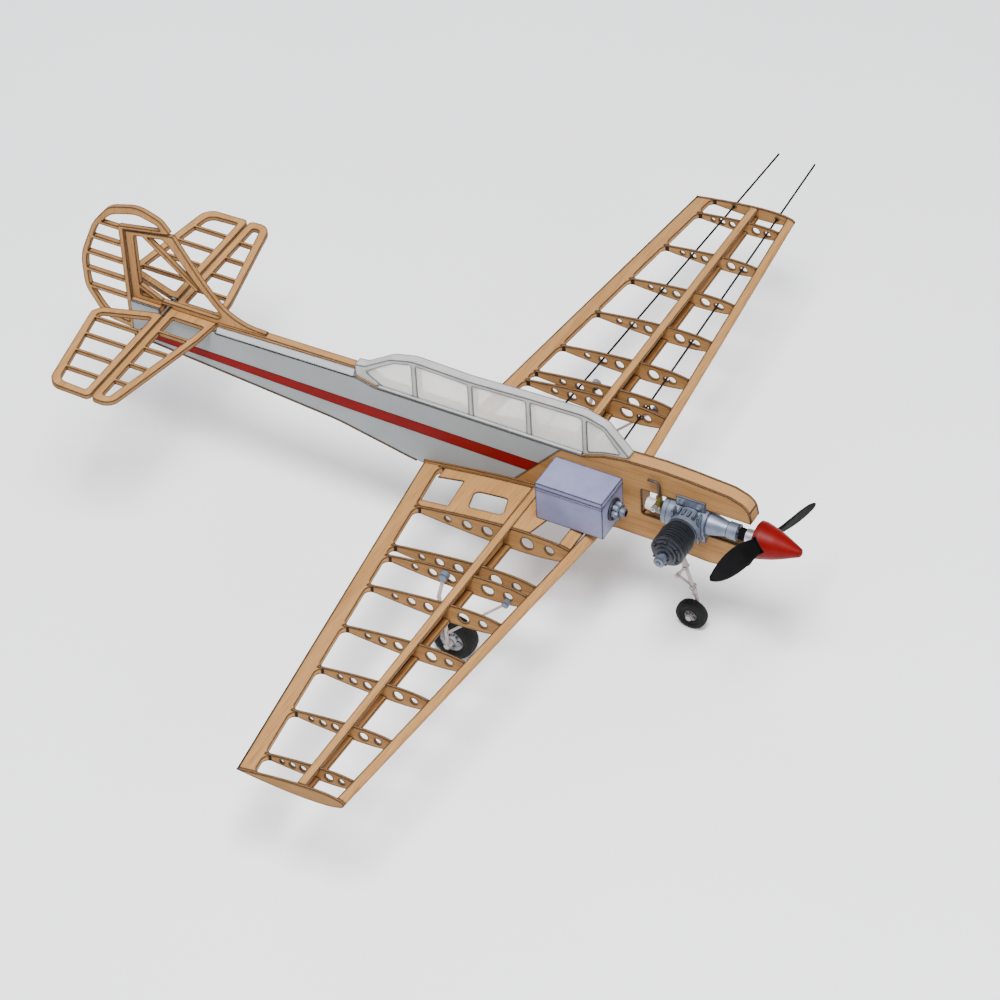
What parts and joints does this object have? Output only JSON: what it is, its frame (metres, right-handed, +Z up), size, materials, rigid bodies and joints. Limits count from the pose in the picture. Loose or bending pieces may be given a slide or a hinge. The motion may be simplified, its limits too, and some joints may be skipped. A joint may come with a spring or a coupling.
{
  "type": "control-line profile model aeroplane",
  "caption": "Built-up wooden control-line model of a low-wing tricycle trainer: profile fuselage, open-frame wing and tail, side-mounted glow engine, tank and propeller.",
  "frame": {"origin": "under the middle of the bounding box (which includes the lead-out wires beyond the port tip), on the ground that the three wheels stand on", "axes": "+X forward to the spinner, +Y to port (the lead-out side), +Z up"},
  "size_m": [0.8868, 1.1332, 0.3411],
  "materials": {
    "ply": "birch plywood, laser cut",
    "balsa": "sanded balsa",
    "hardwood": "maple beam",
    "grey_film": "grey covering film",
    "red_tape": "red trim tape",
    "dark_strip": "stained spruce",
    "canopy_white": "moulded light grey frame",
    "clear_pane": "clear acetate sheet",
    "music_wire": "spring steel wire",
    "brass": "turned brass",
    "engine_alloy": "bead-blasted casting",
    "dark_alloy": "dark anodised aluminium",
    "white_plastic": "moulded nylon",
    "prop_black": "glass filled nylon",
    "spinner_red": "gloss red nylon",
    "tank_tint": "translucent blue-grey polythene",
    "tyre_black": "foam rubber",
    "hub_grey": "moulded grey nylon",
    "tube_black": "neoprene fuel tube",
    "steel_bolt": "zinc plated steel"
  },
  "bodies": {
    "airframe": {"fuselage_core": "balsa", "nose_doublers": "ply", "rear_side_panels": "grey_film", "engine_bearers": "hardwood", "side_stripes": "red_tape", "keel_strip": "dark_strip", "turtle_deck": "grey_film", "spine_strip": "balsa", "canopy_frame": "canopy_white", "canopy_glazing": "clear_pane", "wing_saddles": "ply", "spar_joiners": "ply", "ribs_right": "ply", "ribs_left": "ply", "leading_edges": "balsa", "trailing_edges": "balsa", "spars": "balsa", "root_sheets": "balsa", "stabiliser": "balsa", "fin": "balsa", "hinge_pins": "music_wire", "bellcrank_mount": "ply", "leadout_guides": "brass", "crankcase": "engine_alloy", "backplate": "engine_alloy", "intake_barrel": "white_plastic", "needle_valve_body": "brass", "fuel_elbow": "tube_black", "cylinder": "dark_alloy", "cylinder_head": "dark_alloy", "glow_plug": "engine_alloy", "piston": "engine_alloy", "bolts": "steel_bolt", "tank_body": "tank_tint", "tank_lid": "tank_tint", "tank_fitting": "dark_alloy", "nose_leg": "music_wire", "torque_links": "music_wire", "gear_fittings": "engine_alloy", "main_legs": "music_wire"},
    "elevator": {"elevator_right": "balsa", "elevator_left": "balsa", "elevator_horn": "music_wire"},
    "rudder": {"rudder": "balsa", "rudder_hinges": "brass"},
    "bellcrank": {"bellcrank": "dark_alloy"},
    "front_lead_out": {"leadout_front": "music_wire"},
    "rear_lead_out": {"leadout_rear": "music_wire"},
    "pushrod": {"pushrod": "music_wire"},
    "propeller_assembly": {"crankshaft": "steel_bolt", "drive_washer_and_nut": "engine_alloy", "propeller": "prop_black", "spinner": "spinner_red"},
    "needle_valve": {"needle_valve": "steel_bolt"},
    "nose_wheel": {"nose_wheel_hub": "hub_grey", "nose_tyre": "tyre_black"},
    "main_wheel_right": {"main_wheel_hub_right": "hub_grey", "main_tyre_right": "tyre_black"},
    "main_wheel_left": {"main_wheel_hub_left": "hub_grey", "main_tyre_left": "tyre_black"}
  },
  "joints": [
    {"name": "elevator_hinge", "type": "hinge", "parent": "airframe", "child": "elevator", "pos_m": [-0.33159, -0.05165, 0.20825], "axis": [0, 1, 0], "range_deg": [-22, 22]},
    {"name": "pushrod_slide", "type": "slide", "parent": "airframe", "child": "pushrod", "axis": [1, 0, 0], "range_m": [-0.0077, 0.0077]},
    {"name": "bellcrank_pivot", "type": "hinge", "parent": "airframe", "child": "bellcrank", "pos_m": [0.12781, -0.00369, 0.11845], "axis": [0, -0.0302, 0.9995], "range_deg": [-22.1, 22.1]},
    {"name": "front_lead_out_slide", "type": "slide", "parent": "airframe", "child": "front_lead_out", "axis": [-0.0294, 0.9991, 0.0302], "range_m": [-0.0177, 0.0177]},
    {"name": "rear_lead_out_slide", "type": "slide", "parent": "airframe", "child": "rear_lead_out", "axis": [0.0507, 0.9983, 0.0302], "range_m": [-0.0177, 0.0177]},
    {"name": "rudder_hinge", "type": "hinge", "parent": "airframe", "child": "rudder", "pos_m": [-0.38059, -0.05165, 0.2465], "axis": [0, 0, 1], "range_deg": [-15, 15]},
    {"name": "propeller_spin", "type": "hinge", "parent": "airframe", "child": "propeller_assembly", "pos_m": [0.38941, -0.06065, 0.1635], "axis": [1, 0, 0], "continuous": true},
    {"name": "needle_valve_turn", "type": "hinge", "parent": "airframe", "child": "needle_valve", "pos_m": [0.27941, -0.07165, 0.1765], "axis": [0, -1, 0], "range_deg": [-180, 540]},
    {"name": "nose_wheel_spin", "type": "hinge", "parent": "airframe", "child": "nose_wheel", "pos_m": [0.31041, -0.05665, 0.018], "axis": [0, 1, 0], "continuous": true},
    {"name": "main_wheel_right_spin", "type": "hinge", "parent": "airframe", "child": "main_wheel_right", "pos_m": [0.10241, -0.20665, 0.026], "axis": [0, 1, 0], "continuous": true},
    {"name": "main_wheel_left_spin", "type": "hinge", "parent": "airframe", "child": "main_wheel_left", "pos_m": [0.10241, 0.10335, 0.026], "axis": [0, 1, 0], "continuous": true}
  ],
  "couplings": [
    {"joint": "pushrod_slide", "follows": "elevator_hinge", "m_per_rad": -0.02},
    {"joint": "bellcrank_pivot", "follows": "elevator_hinge", "ratio": -1},
    {"joint": "front_lead_out_slide", "follows": "elevator_hinge", "m_per_rad": -0.046},
    {"joint": "rear_lead_out_slide", "follows": "elevator_hinge", "m_per_rad": 0.046}
  ]
}
